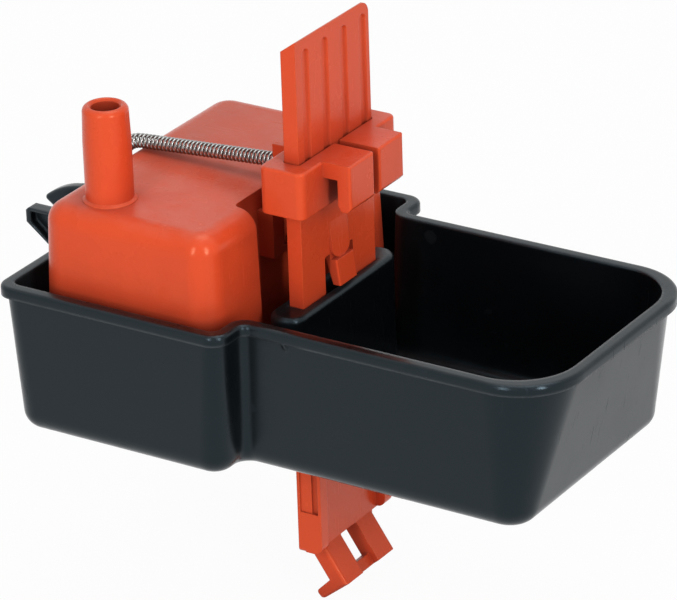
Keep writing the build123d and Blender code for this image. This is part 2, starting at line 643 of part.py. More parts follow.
def float_arm():
    """Ribbed lever from the pivot, over the valve's foot, to the float's screw."""
    x0, x1 = NIPPLE_X - ARM_WIDTH / 2, NIPPLE_X + ARM_WIDTH / 2
    end = FLOAT_SCREW_Y + ARM_END
    half = ARM_HEIGHT / 2
    arm = block(x0, x1, PIVOT_Y, end, PIVOT_Z - half, PIVOT_Z + half)
    arm = fillet(arm.edges().filter_by(Axis.Z).group_by(Axis.Y)[-1], ARM_WIDTH / 2 - 0.2)
    y0 = NIPPLE_Y + ARM_POCKET_MARGIN
    y1 = FLOAT_SCREW_Y - ARM_POCKET_MARGIN
    pocket = Box(2 * ARM_POCKET_DEPTH, y1 - y0, ARM_HEIGHT - 2 * ARM_FLANGE)
    for side in (-1, 1):
        arm -= Pos(NIPPLE_X + side * ARM_WIDTH / 2, (y0 + y1) / 2, PIVOT_Z) * pocket
    arm += rod_x(EAR_RADIUS, x0, x1, PIVOT_Y, PIVOT_Z)
    arm -= rod_x(PIN_RADIUS + PIN_CLEARANCE, x0 - 1, x1 + 1, PIVOT_Y, PIVOT_Z)
    arm -= rod_z(SCREW_RADIUS + 0.2, NIPPLE_X, FLOAT_SCREW_Y, PIVOT_Z - ARM_HEIGHT, PIVOT_Z + ARM_HEIGHT)
    return hanging(arm)


def float_box(skin, z0, z1, edge_radius):
    plan = RectangleRounded(FLOAT_LENGTH_X - 2 * skin, FLOAT_LENGTH_Y - 2 * skin,
                            FLOAT_CORNER_RADIUS - skin)
    centre = (FLOAT_BACK + FLOAT_LENGTH_X / 2, FLOAT_NEAR + FLOAT_LENGTH_Y / 2)
    body = Pos(centre[0], centre[1], z0) * extrude(plan, z1 - z0)
    return fillet(body.faces().sort_by(Axis.Z)[0].edges(), edge_radius)


def float_shell():
    """Hollow lower half of the float, open at the top."""
    top = FLOAT_LOW + FLOAT_HEIGHT
    shell = float_box(0, FLOAT_LOW, top, 2.5)
    shell -= float_box(FLOAT_WALL, FLOAT_LOW + FLOAT_WALL, top + 1, 1.4)
    return hanging(shell)


def float_lid():
    """Lid with a lip inside the shell and a boss for the adjusting screw."""
    top = FLOAT_LOW + FLOAT_HEIGHT
    lip = float_box(FLOAT_WALL + 0.1, top - 2, top, 0.4)
    lip -= float_box(2 * FLOAT_WALL + 0.1, top - 3, top + 1, 0.4)
    lid = lip + float_box(0, top, top + FLOAT_WALL, 0.4)
    boss_foot = FLOAT_LOW + LID_BOSS_LIFT
    lid += rod_z(SCREW_RADIUS + LID_BOSS_WALL, NIPPLE_X, FLOAT_SCREW_Y, boss_foot, top + FLOAT_WALL)
    bore_foot = FLOAT_LOW + SCREW_BORE_LIFT
    bore_head = top + FLOAT_WALL + 1
    lid -= rod_z(SCREW_RADIUS + PIN_CLEARANCE, NIPPLE_X, FLOAT_SCREW_Y, bore_foot, bore_head)
    return hanging(lid)


def float_screw():
    """Adjusting screw: its head rides on the arm and its shank runs into the lid's boss."""
    head = PIVOT_Z + ARM_HEIGHT / 2 + PRESS_GAP
    screw = rod_z(SCREW_RADIUS, NIPPLE_X, FLOAT_SCREW_Y, FLOAT_LOW + SCREW_END_LIFT, head + 1)
    screw += rod_z(SCREW_HEAD_RADIUS, NIPPLE_X, FLOAT_SCREW_Y, head, head + SCREW_HEAD_HEIGHT)
    slot = block(NIPPLE_X - 5, NIPPLE_X + 5, FLOAT_SCREW_Y - 0.5, FLOAT_SCREW_Y + 0.5,
                 head + SCREW_HEAD_HEIGHT - 1, head + SCREW_HEAD_HEIGHT + 1)
    return hanging(screw - slot)


def float_nut():
    """Lock nut between the arm and the lid."""
    low = FLOAT_LOW + FLOAT_HEIGHT + FLOAT_WALL + PRESS_GAP
    high = PIVOT_Z - ARM_HEIGHT / 2 - PRESS_GAP
    nut = extrude(RegularPolygon(NUT_FLATS / 2, 6, major_radius=False), high - low)
    nut = Pos(NIPPLE_X, FLOAT_SCREW_Y, low) * nut
    return hanging(nut - rod_z(SCREW_RADIUS + PIN_CLEARANCE, NIPPLE_X, FLOAT_SCREW_Y, low - 1, high + 1))


def clip_places():
    """Where the two clips sit on the pin, outside the ears."""
    face = ARM_WIDTH / 2 + ARM_SIDE_CLEARANCE + EAR_THICKNESS + 0.15
    return [NIPPLE_X - face - CLIP_THICKNESS, NIPPLE_X + face]


def pivot_pin():
    """Steel pin with a groove near each end."""
    low, high = clip_places()
    pin = rod_x(PIN_RADIUS, low - 0.8, high + CLIP_THICKNESS + 0.8, PIVOT_Y, PIVOT_Z)
    for start in (low, high):
        ring = rod_x(PIN_RADIUS + 1, start - 0.05, start + CLIP_THICKNESS + 0.05, PIVOT_Y, PIVOT_Z)
        ring -= rod_x(PIN_RADIUS - 0.4, start - 1, start + CLIP_THICKNESS + 1, PIVOT_Y, PIVOT_Z)
        pin -= ring
    return pin


def pin_clips():
    """Two open spring clips in the pin's grooves."""
    clips = []
    for start in clip_places():
        clip = rod_x(CLIP_RADIUS, start, start + CLIP_THICKNESS, PIVOT_Y, PIVOT_Z)
        clip -= rod_x(PIN_RADIUS - 0.35, start - 1, start + CLIP_THICKNESS + 1, PIVOT_Y, PIVOT_Z)
        mouth = PIN_RADIUS - 0.45
        clip -= block(start - 1, start + CLIP_THICKNESS + 1, PIVOT_Y - mouth, PIVOT_Y + mouth,
                      PIVOT_Z, PIVOT_Z + CLIP_RADIUS + 1)
        clips.append(clip)
    return Compound(clips)


# ---------------------------------------------------------------- clamp


def bracket_body():
    """Block round the slide, with its front wall split on the centre line."""
    length = BRACKET_BACK + BRACKET_FRONT
    plan = RectangleRounded(length, BRACKET_WIDTH, BRACKET_CORNER_RADIUS)
    body = Pos((BRACKET_REAR + BRACKET_FACE) / 2, 0, BRACKET_BOTTOM) * extrude(plan, BRACKET_HEIGHT)
    return body


def bracket_lugs():
    """Two downward hooks on the front: roof, wire channel and finger."""
    roof = BRACKET_TOP - LUG_ROOF
    channel = BRACKET_FACE + WIRE_CHANNEL
    tip = channel + LUG_FINGER
    profile = [
        (BRACKET_FACE - 1, BRACKET_TOP), (tip, BRACKET_TOP), (tip, BRACKET_BOTTOM + 1.2),
        (tip - 1.2, BRACKET_BOTTOM), (channel + 1.0, BRACKET_BOTTOM), (channel, BRACKET_BOTTOM + 1.4),
        (channel, roof), (BRACKET_FACE - 1, roof),
    ]
    lugs = None
    for side in (-1, 1):
        y0, y1 = sorted((side * LUG_GAP / 2, side * (LUG_GAP / 2 + LUG_WIDTH)))
        lug = side_profile(profile, y0, y1)
        lug = fillet(lug.edges().filter_by(lambda e: (e @ 0.5).X > tip - 0.1), LUG_EDGE_RADIUS)
        lugs = lug if lugs is None else lugs + lug
    return lugs


def bracket_key():
    """T-shaped key that drops between the housing's rails."""
    head_back = RECESS_FLOOR + KEY_CLEARANCE
    head_front = head_back + KEY_HEAD_THICKNESS
    top = BRACKET_TOP - 2.5
    neck = block(head_front - 0.5, BRACKET_REAR + 0.5, -KEY_NECK / 2, KEY_NECK / 2, KEY_BOTTOM, top)
    lean = [(BRACKET_REAR + 0.5, KEY_BOTTOM - 1), (BRACKET_REAR + 0.5, BRACKET_BOTTOM),
            (head_front + 1.5, KEY_BOTTOM - 1)]
    neck -= side_profile(lean, -KEY_NECK, KEY_NECK)
    head = block(head_back, head_front, -KEY_HEAD / 2, KEY_HEAD / 2, KEY_BOTTOM, HOUSING_TOP)
    return neck + head


def spring_slot():
    """Slot in the key's neck for the coils; the bar across it holds their front loop."""
    half = EYE_WIDTH / 2
    slot = block(RECESS_FLOOR - 2, EYE_X + LOOP_ROOM, -half, half, EYE_Z - LOOP_ROOM, BRACKET_TOP + 1)
    return slot - rod_y(BAR_RADIUS, EYE_X, -half, half, EYE_Z)


def clamp_bracket():
    bracket = bracket_body()
    bracket = fillet(bracket.edges().group_by(Axis.Z)[-1], BRACKET_EDGE_RADIUS)
    bracket = fillet(bracket.edges().group_by(Axis.Z)[0], BRACKET_EDGE_RADIUS / 2)
    bracket += bracket_lugs() + bracket_key()
    gap = 2 * SLIDE_CLEARANCE
    slot = RectangleRounded(SLIDE_THICKNESS + gap, SLIDE_WIDTH + gap, 0.8)
    bracket -= Pos(SLIDE_X, 0, BRACKET_BOTTOM - 1) * extrude(slot, BRACKET_HEIGHT + 2)
    bracket -= block(SLIDE_X, BRACKET_FACE + 1, -LUG_GAP / 2, LUG_GAP / 2, BRACKET_BOTTOM - 1, BRACKET_TOP + 1)
    return bracket - spring_slot()


def slide_plate():
    """The long plate; its top slopes to the back and is rounder at the far corner."""
    half = SLIDE_WIDTH / 2
    corners = [(-half, SLIDE_BOTTOM), (half, SLIDE_BOTTOM), (half, SLIDE_TOP), (-half, SLIDE_TOP)]
    face = make_face(Polyline(*corners, close=True))
    face = fillet(face.vertices().group_by(Axis.Y)[0], PLATE_CORNER_RADIUS)
    face = fillet(face.vertices().group_by(Axis.Y)[-1].sort_by(Axis.X)[-1], TONGUE_FAR_RADIUS)
    face = fillet(face.vertices().group_by(Axis.Y)[-1].sort_by(Axis.X)[0], TONGUE_NEAR_RADIUS)
    plate = Pos(SLIDE_REAR, 0, 0) * extrude(Plane.YZ * face, SLIDE_THICKNESS)
    low = SLIDE_TOP - TONGUE_BEVEL
    wedge = [
        (SLIDE_FRONT - TONGUE_LIP, SLIDE_TOP), (SLIDE_REAR, low), (SLIDE_REAR - 1, low),
        (SLIDE_REAR - 1, SLIDE_TOP + 1), (SLIDE_FRONT - TONGUE_LIP, SLIDE_TOP + 1),
    ]
    return plate - side_profile(wedge, -half - 1, half + 1)


def finger_flutes():
    """Narrow round-topped grooves down the front of the finger grip."""
    top = SLIDE_TOP - FLUTE_MARGIN
    first = FLUTE_SHIFT - (FLUTE_COUNT - 1) / 2 * FLUTE_PITCH
    outline = RectangleRounded(FLUTE_WIDTH, FLUTE_LENGTH, FLUTE_WIDTH / 2 - 0.1)
    flutes = None
    for number in range(FLUTE_COUNT):
        place = Plane(origin=(SLIDE_FRONT + 0.01, first + number * FLUTE_PITCH, top - FLUTE_LENGTH / 2),
                      x_dir=(0, 1, 0), z_dir=(1, 0, 0))
        flute = extrude(place * outline, -FLUTE_DEPTH, taper=40)
        flutes = flute if flutes is None else flutes + flute
    return flutes


def snap_window():
    """Opening in the plate that lets the catch spring back."""
    half = SNAP_WINDOW / 2
    low = CHIMNEY_TOP - SNAP_WINDOW_BELOW
    window = block(SLIDE_REAR - 1, SLIDE_FRONT + 1, -half, half, low, SNAP_WINDOW_TOP)
    return fillet(window.edges().filter_by(Axis.X), SNAP_WINDOW_RADIUS)


def snap_catch():
    """Springy catch: a leaf, a round-ended nose on it, and a pad whose foot stands over the chimney."""
    half = SNAP_WIDTH / 2
    root = SNAP_WINDOW_TOP + SNAP_ROOT
    foot = CHIMNEY_TOP + SNAP_STOP_GAP
    pad_top = foot + SNAP_PAD_LENGTH
    neck = SLIDE_FRONT + SNAP_NECK
    front = SLIDE_FRONT + SNAP_PROUD
    leaf_back = SLIDE_FRONT - SNAP_LEAF
    leaf = block(leaf_back, SLIDE_FRONT, -half, half, pad_top - SNAP_EDGE_RADIUS, root - SNAP_LEAF)
    slope = [(SLIDE_FRONT - SNAP_EDGE_RADIUS, root), (SLIDE_FRONT, root), (neck, pad_top),
             (SLIDE_FRONT - SNAP_EDGE_RADIUS, pad_top)]
    outline = block(leaf_back, neck + 1, -half, half, pad_top, root + SNAP_ROOT)
    nose = side_profile(slope, -half, half)
    nose &= fillet(outline.edges().filter_by(Axis.X).group_by(Axis.Z)[0], SNAP_NOSE_RADIUS)
    wedge = [(leaf_back, pad_top), (front - SNAP_LEAN, pad_top), (front, foot),
             (front - SNAP_PAD_FOOT, foot)]
    pad = side_profile(wedge, -half, half)
    rims = pad.edges().filter_by(lambda e: abs((e @ 0).Z - (e @ 1).Z) > 1 and (e @ 0.5).X > SLIDE_FRONT + 1)
    return leaf + nose + fillet(rims, SNAP_EDGE_RADIUS)


def slide_ribs():
    """Ribs down both edges of the front below the trough."""
    half = SLIDE_WIDTH / 2
    ribs = None
    for side in (-1, 1):
        y0, y1 = sorted((side * half, side * (half - RIB_WIDTH)))
        rib = block(SLIDE_X, RIB_FRONT, y0, y1, SLIDE_BOTTOM + RIB_RECESS, RIB_TOP)
        rib = fillet(rib.edges().filter_by(Axis.Y).group_by(Axis.Z)[0].sort_by(Axis.X)[-1], RIB_TOE_RADIUS)
        ribs = rib if ribs is None else ribs + rib
    return ribs


def side_grooves():
    """Shallow recess down each side of the ribbed part, with a deeper groove in it."""
    half = SLIDE_WIDTH / 2
    low = SLIDE_BOTTOM + RIB_STEP
    middle = (SLIDE_FRONT + RIB_FRONT - RIB_BORDER) / 2
    cuts = None
    for side in (-1, 1):
        y0, y1 = sorted((side * (half + 1), side * (half - RIB_RECESS)))
        cut = block(SLIDE_REAR + RIB_BORDER, RIB_FRONT - RIB_BORDER, y0, y1, low, RIB_TOP)
        y0, y1 = sorted((side * (half + 1), side * (half - GROOVE_DEPTH)))
        cut += block(middle - GROOVE_WIDTH / 2, middle + GROOVE_WIDTH / 2, y0, y1, low, RIB_TOP)
        cuts = cut if cuts is None else cuts + cut
    return cuts


def foot_hook():
    """Bent lower end: two legs that lean forward round a window, and a toe that turns back."""
    leg = radians(FOOT_LEG_SLOPE)
    toe = radians(FOOT_TOE_SLOPE)
    along = Vector(sin(leg), 0, -cos(leg))
    inward = Vector(-cos(leg), 0, -sin(leg))
    front = Vector(SLIDE_FRONT, 0, SLIDE_BOTTOM)
    knee = front + along * FOOT_LEG_LENGTH
    start = front + inward * SLIDE_THICKNESS
    crook = start + along * FOOT_CROOK
    toe_tip = crook + Vector(-sin(toe), 0, -cos(toe)) * FOOT_TOE_LENGTH
    toe_end = toe_tip + Vector(cos(toe), 0, -sin(toe)) * FOOT_TOE_THICKNESS
    points = [Vector(SLIDE_REAR, 0, SLIDE_BOTTOM + 1), Vector(SLIDE_REAR, 0, SLIDE_BOTTOM), start, crook,
              toe_tip, toe_end, knee, front, Vector(SLIDE_FRONT, 0, SLIDE_BOTTOM + 1)]
    half = FOOT_WIDTH / 2
    foot = side_profile([(p.X, p.Z) for p in points], -half, half)
    edges = foot.edges()
    ends = edges.filter_by(Axis.Y).filter_by(lambda e: (e @ 0).Z < crook.Z - 1)
    rims = edges.filter_by(lambda e: (e @ 0.5 - (front + knee) / 2).length < half + 1
                           and abs((e @ 0).X - (e @ 1).X) > 4 and (e @ 0.5).X > 6)
    corners = edges.filter_by(lambda e: (e @ 0.5 - (knee + toe_end) / 2).length < half + 1
                              and abs((e @ 0).Y - (e @ 1).Y) < 0.1 and abs((e @ 0).X - (e @ 1).X) > 5)
    foot = fillet(ends + rims + corners, FOOT_EDGE_RADIUS)
    turn = Rot(0, -FOOT_LEG_SLOPE, 0)
    middle = front + along * (FOOT_WINDOW_LENGTH / 2)
    window = Box(6 * SLIDE_THICKNESS, FOOT_WINDOW_WIDTH, FOOT_WINDOW_LENGTH)
    window = fillet(window.edges().filter_by(Axis.X), 0.5)
    relief = Box(2 * FOOT_RELIEF, FOOT_WINDOW_WIDTH, FOOT_LEG_LENGTH)
    lower = front + along * (FOOT_WINDOW_LENGTH + FOOT_LEG_LENGTH / 2 - 0.5)
    foot -= Pos(middle.X, 0, middle.Z) * turn * window
    return foot - Pos(lower.X, 0, lower.Z) * turn * relief


def clamp_slide():
    plate = slide_plate() - finger_flutes() - snap_window()
    return plate + snap_catch() + slide_ribs() - side_grooves() + foot_hook()


# ---------------------------------------------------------------- spring


def spring_route():
    """Middle line of the coils: from the rear bar, round the housing's edge, to the front bar."""
    bend = HOUSING_EDGE_RADIUS + SPRING_RADIUS + SPRING_GAP
    edge = Vector(HOUSING_BACK + HOUSING_EDGE_RADIUS, 0, HOUSING_TOP - HOUSING_EDGE_RADIUS)
    ends = []
    for bar, side in ((Vector(SPRING_BAR_X, 0, SPRING_BAR_Z), -1), (Vector(EYE_X, 0, EYE_Z), 1)):
        out = bar - edge
        away = atan2(out.Z, out.X) % radians(360)
        turn = away + side * acos(bend / out.length)
        touch = edge + Vector(cos(turn), 0, sin(turn)) * bend
        ends.append((bar + (touch - bar).normalized() * LOOP_STAND, touch, turn))
    (start, low, turn_low), (stop, high, turn_high) = ends
    middle = (turn_low + turn_high) / 2
    crown = edge + Vector(cos(middle), 0, sin(middle)) * bend
    return Line(start, low) + ThreePointArc(low, crown, high) + Line(high, stop)


def retaining_spring():
    """Tension spring as a tube of its coils' size, with a wire loop round each bar."""
    route = spring_route()
    start = Plane(origin=route @ 0, z_dir=route % 0)
    coils = sweep(start * Circle(SPRING_RADIUS), path=route)
    coils -= sweep(start * Circle(SPRING_BORE), path=route)
    stand = LOOP_RADIUS - SPRING_WIRE - BAR_RADIUS - SPRING_GAP
    for bar, way in (((SPRING_BAR_X, SPRING_BAR_Z), route % 0), ((EYE_X, EYE_Z), (route % 1) * -1)):
        middle = Vector(bar[0], 0, bar[1]) + way * stand
        coils += Pos(middle.X, 0, middle.Z) * Rot(90, 0, 0) * Torus(LOOP_RADIUS, SPRING_WIRE)
    return coils


PARTS = {
    "trough": trough,
    "float_housing": float_housing,
    "valve_seat": valve_seat,
    "seat_ring": seat_ring,
    "stem_guide": stem_guide,
    "valve_stem": valve_stem,
    "stem_pad": stem_pad,
    "float_arm": float_arm,
    "pivot_pin": pivot_pin,
    "pin_clips": pin_clips,
    "float_shell": float_shell,
    "float_lid": float_lid,
    "float_screw": float_screw,
    "float_nut": float_nut,
    "clamp_bracket": clamp_bracket,
    "clamp_slide": clamp_slide,
    "retaining_spring": retaining_spring,
}

os.makedirs("parts", exist_ok=True)
for name, build in PARTS.items():
    export_step(build(), f"parts/{name}.step")
    print("wrote", name)
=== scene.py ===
# %% [markdown]
# # A clamp-on float drinker for a wire cage
#
# The drinker is a stepped black trough with a bright moulded housing over its float valve. A long
# slide plate and a bracket clamp it to the cage, and a wire spring pulls the housing down. Every
# rigid piece comes from the CAD model, so this scene adds what CAD leaves out: the wound wire of
# the spring, the skin of the plastics, the studio and the camera.

# %% Load the frame
from math import acos, atan2, cos, pi, radians, sin

import json

import bpy
from mathutils import Matrix, Vector


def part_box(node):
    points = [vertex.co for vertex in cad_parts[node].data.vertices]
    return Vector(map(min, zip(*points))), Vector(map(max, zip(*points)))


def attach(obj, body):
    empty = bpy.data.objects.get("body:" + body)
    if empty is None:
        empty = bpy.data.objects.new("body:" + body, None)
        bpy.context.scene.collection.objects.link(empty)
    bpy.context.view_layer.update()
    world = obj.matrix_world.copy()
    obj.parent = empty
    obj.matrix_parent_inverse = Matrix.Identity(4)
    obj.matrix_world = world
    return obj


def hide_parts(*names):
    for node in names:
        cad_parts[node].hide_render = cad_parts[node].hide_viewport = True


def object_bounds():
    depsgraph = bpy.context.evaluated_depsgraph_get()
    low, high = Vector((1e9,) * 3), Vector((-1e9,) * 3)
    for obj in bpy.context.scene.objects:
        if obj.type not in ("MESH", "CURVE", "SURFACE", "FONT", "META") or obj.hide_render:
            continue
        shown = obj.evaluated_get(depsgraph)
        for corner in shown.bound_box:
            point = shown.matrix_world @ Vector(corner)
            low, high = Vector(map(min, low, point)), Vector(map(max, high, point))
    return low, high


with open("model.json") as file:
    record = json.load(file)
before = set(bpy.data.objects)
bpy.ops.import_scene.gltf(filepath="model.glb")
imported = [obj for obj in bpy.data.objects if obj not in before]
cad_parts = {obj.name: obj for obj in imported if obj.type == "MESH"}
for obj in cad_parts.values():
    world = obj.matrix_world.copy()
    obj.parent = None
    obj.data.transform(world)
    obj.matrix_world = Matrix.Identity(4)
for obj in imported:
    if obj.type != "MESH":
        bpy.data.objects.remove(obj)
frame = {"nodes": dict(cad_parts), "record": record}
cad_low, cad_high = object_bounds()
MM = 0.001
print("nodes", len(frame["nodes"]), "size mm", [round(v / MM, 1) for v in cad_high - cad_low])

# %% [markdown]
# ## The camera
#
# A long lens from well above the rim keeps the trough's walls nearly parallel. The camera is set by
# what one would note down beside the tripod: where it looks, from which bearing, how high, how far
# and how much it leans. From these the code works out its place, so that one value can be changed
# at a time.

# %% Camera
LENS = 252.0  # millimetres, on a 36 mm sensor
LOOK_AT = Vector((19.475, -24.664, 4.679)) * MM
BEARING = radians(32.9)
HEIGHT_ANGLE = radians(24.9)
LEAN = radians(1.92)
DISTANCE = 1232.14 * MM


def place_camera():
    lens = bpy.data.cameras.new("camera")
    lens.sensor_width = 36.0
    lens.lens = LENS
    lens.clip_start = 0.05
    lens.clip_end = 20.0
    camera = bpy.data.objects.new("camera", lens)
    bpy.context.scene.collection.objects.link(camera)
    away = Vector((
        sin(BEARING) * cos(HEIGHT_ANGLE), -cos(BEARING) * cos(HEIGHT_ANGLE), sin(HEIGHT_ANGLE)))
    turn = (-away).to_track_quat("-Z", "Y").to_matrix().to_4x4()
    lean = Matrix.Rotation(-LEAN, 4, "Z")
    camera.matrix_world = Matrix.Translation(LOOK_AT + away * DISTANCE) @ turn @ lean
    bpy.context.scene.camera = camera
    return camera


camera = place_camera()
print("camera at mm", [round(v / MM) for v in camera.matrix_world.translation])

# %% [markdown]
# ## Helpers for node trees
#
# Every finish here is a tree of shader nodes. A few small helpers keep the trees readable: they add a
# node and set its values by name, do one sum, make a group with named sockets, place a group in a
# material, and start a material with its Principled BSDF.


# %% Node helpers
def add(tree, kind, links=None, **settings):
    """Adds a node, sets its properties, and links or sets the inputs given by name or number."""
    node = tree.nodes.new(kind)
    for name, value in settings.items():
        setattr(node, name, value)
    for socket, source in (links or {}).items():
        if isinstance(source, bpy.types.NodeSocket):
            tree.links.new(source, node.inputs[socket])
        else:
            node.inputs[socket].default_value = source
    return node


def sum_of(tree, operation, first, second, clamp=False):
    """The output of one Math node on two values."""
    node = add(tree, "ShaderNodeMath", {0: first, 1: second}, operation=operation, use_clamp=clamp)
    return node.outputs[0]


def new_group(name, inputs, outputs):
    """An empty node group with named sockets; inputs are (name, kind, default)."""
    tree = bpy.data.node_groups.new(name, "ShaderNodeTree")
    for label, kind, default in inputs:
        socket = tree.interface.new_socket(label, in_out="INPUT", socket_type="NodeSocket" + kind)
        socket.default_value = default
    for label, kind in outputs:
        tree.interface.new_socket(label, in_out="OUTPUT", socket_type="NodeSocket" + kind)
    return tree, tree.nodes.new("NodeGroupInput").outputs, tree.nodes.new("NodeGroupOutput").inputs


def place_group(tree, group, **values):
    """Puts a shared group in a material's tree and sets its inputs."""
    node = tree.nodes.new("ShaderNodeGroup")
    node.node_tree = group
    for label, value in values.items():
        node.inputs[label.replace("_", " ")].default_value = value
    return node.outputs


def new_finish(name, **settings):
    """A material and its Principled BSDF, with constants set on the shader's own sockets."""
    material = bpy.data.materials.new(name)
    material.use_nodes = True
    shader = material.node_tree.nodes["Principled BSDF"]
    for label, value in settings.items():
        shader.inputs[label.replace("_", " ")].default_value = value
    return material, material.node_tree, shader

# %% [markdown]
# ## Shared effect: the moulded skin
#
# Injection-moulded plastic is never a perfect mirror. Its skin has a faint waviness from the steel
# mould, called orange peel, a finer grain, and cloudy patches where it is a little duller. All of
# that is noise at three sizes. Object coordinates in metres keep the grain the same on every piece,
# whatever its shape, and need no unwrapping.


# %% Group: moulded skin
def moulded_skin():
    tree, given, gives = new_group(
        "moulded skin",
        [("Wave size", "Float", 6.0), ("Grain size", "Float", 0.5), ("Grain", "Float", 0.3),
         ("Gloss low", "Float", 0.25), ("Gloss high", "Float", 0.4)],
        [("Height", "Float"), ("Roughness", "Float"), ("Cloud", "Float")],
    )
    where = add(tree, "ShaderNodeTexCoord").outputs["Object"]

    def noise(size, detail):
        scale = sum_of(tree, "DIVIDE", 1.0 / MM, size)
        return add(tree, "ShaderNodeTexNoise", {"Vector": where, "Scale": scale, "Detail": detail})

    wave = noise(given["Wave size"], 1.0).outputs["Fac"]
    grain = noise(given["Grain size"], 2.0).outputs["Fac"]
    fine = sum_of(tree, "MULTIPLY", grain, given["Grain"])
    height = sum_of(tree, "ADD", wave, fine)
    cloud = add(tree, "ShaderNodeTexNoise", {
        "Vector": where, "Scale": 38.0, "Detail": 5.0, "Roughness": 0.62})
    dull = add(tree, "ShaderNodeMapRange", {
        "Value": cloud.outputs["Fac"], "From Min": 0.35, "From Max": 0.65,
        "To Min": given["Gloss low"], "To Max": given["Gloss high"]})
    tree.links.new(height, gives["Height"])
    tree.links.new(dull.outputs["Result"], gives["Roughness"])
    tree.links.new(cloud.outputs["Fac"], gives["Cloud"])
    return tree


SKIN = moulded_skin()
print("group", SKIN.name, "outputs", [s.name for s in SKIN.interface.items_tree if s.in_out == "OUTPUT"])

# %% [markdown]
# ## Shared effect: rubbed edges and a painted edge highlight
#
# A moulded corner always has a small radius, even where the drawing has none, and handling rubs it
# first. The Bevel node gives the normal that a rounded edge would have. Where that differs from the
# true normal there is an edge, so the same node gives both the soft highlight and the edge mask.
# That mask makes the colour paler: part rubbed wear, and part a painted highlight line along the
# edges, most of all on the black trough.


# %% Group: rubbed edges and painted edge highlight
def rubbed_edges_and_highlight():
    tree, given, gives = new_group(
        "rubbed edges and painted highlight",
        [("Radius", "Float", 0.0004), ("Wear", "Float", 0.5)],
        [("Normal", "Vector"), ("Edge", "Float")],
    )
    rounded = add(tree, "ShaderNodeBevel", {"Radius": given["Radius"]}, samples=6).outputs["Normal"]
    plain = add(tree, "ShaderNodeNewGeometry").outputs["Normal"]
    match = add(tree, "ShaderNodeVectorMath", {0: rounded, 1: plain}, operation="DOT_PRODUCT")
    where = add(tree, "ShaderNodeTexCoord").outputs["Object"]
    patchy = add(tree, "ShaderNodeTexNoise", {"Vector": where, "Scale": 160.0, "Detail": 3.0})
    # The edge mask, broken into patches, for a paler colour: part rubbed wear, part painted highlight.
    edge = add(tree, "ShaderNodeMapRange", {
        "Value": match.outputs["Value"], "From Min": 0.985, "From Max": 0.84})
    worn_and_highlight = sum_of(tree, "MULTIPLY", edge.outputs["Result"], patchy.outputs["Fac"])
    worn_and_highlight = sum_of(tree, "MULTIPLY", worn_and_highlight, given["Wear"], clamp=True)
    tree.links.new(rounded, gives["Normal"])
    tree.links.new(worn_and_highlight, gives["Edge"])
    return tree


EDGE_WEAR_AND_HIGHLIGHT = rubbed_edges_and_highlight()
print("group", EDGE_WEAR_AND_HIGHLIGHT.name)

# %% [markdown]
# ## Shared effect: dust and scuffs
#
# Farm plastic collects a pale dust on what faces up, broken into patches, and short fine scratches
# where it is handled. The dust is a noise mask times how far the surface faces up. The scratches
# are a stretched noise cut to its thin crests.


# %% Group: dust and scuffs
def dust_and_scuffs():
    tree, given, gives = new_group(
        "dust and scuffs",
        [("Dust", "Float", 0.2), ("Scuffs", "Float", 0.3)],
        [("Dust", "Float"), ("Scuff", "Float")],
    )
    where = add(tree, "ShaderNodeTexCoord").outputs["Object"]
    normal = add(tree, "ShaderNodeNewGeometry").outputs["Normal"]
    up = add(tree, "ShaderNodeSeparateXYZ", {0: normal}).outputs["Z"]
    lying = add(tree, "ShaderNodeMapRange", {"Value": up, "From Min": 0.5, "From Max": 1.0})
    lying = lying.outputs["Result"]
    patches = add(tree, "ShaderNodeTexNoise", {
        "Vector": where, "Scale": 120.0, "Detail": 8.0, "Roughness": 0.7})
    dust = add(tree, "ShaderNodeMapRange", {
        "Value": patches.outputs["Fac"], "From Min": 0.4, "From Max": 0.8})
    dust = sum_of(tree, "MULTIPLY", dust.outputs["Result"], lying)
    dust = sum_of(tree, "MULTIPLY", dust, given["Dust"], clamp=True)
    stretch = add(tree, "ShaderNodeMapping", {
        "Vector": where, "Rotation": (0.2, 0.5, 0.9), "Scale": (1, 14, 1)})
    lines = add(tree, "ShaderNodeTexNoise", {
        "Vector": stretch.outputs[0], "Scale": 90.0, "Detail": 2.0})
    thin = add(tree, "ShaderNodeMapRange", {
        "Value": lines.outputs["Fac"], "From Min": 0.66, "From Max": 0.72})
    thin = sum_of(tree, "MULTIPLY", thin.outputs["Result"], given["Scuffs"])
    tree.links.new(dust, gives["Dust"])
    tree.links.new(thin, gives["Scuff"])
    return tree


MARKS = dust_and_scuffs()
print("group", MARKS.name)

# %% [markdown]
# ## Shared effect: painted shade in crevices
#
# Where surfaces stand close together less light reaches them, and the colour is darkened there as
# painted shade. Ambient occlusion measures just that: how much of the space within a short reach is
# blocked. Noise breaks its edge up, so that the painted shade creeps out unevenly. The same mask
# also adds roughness.


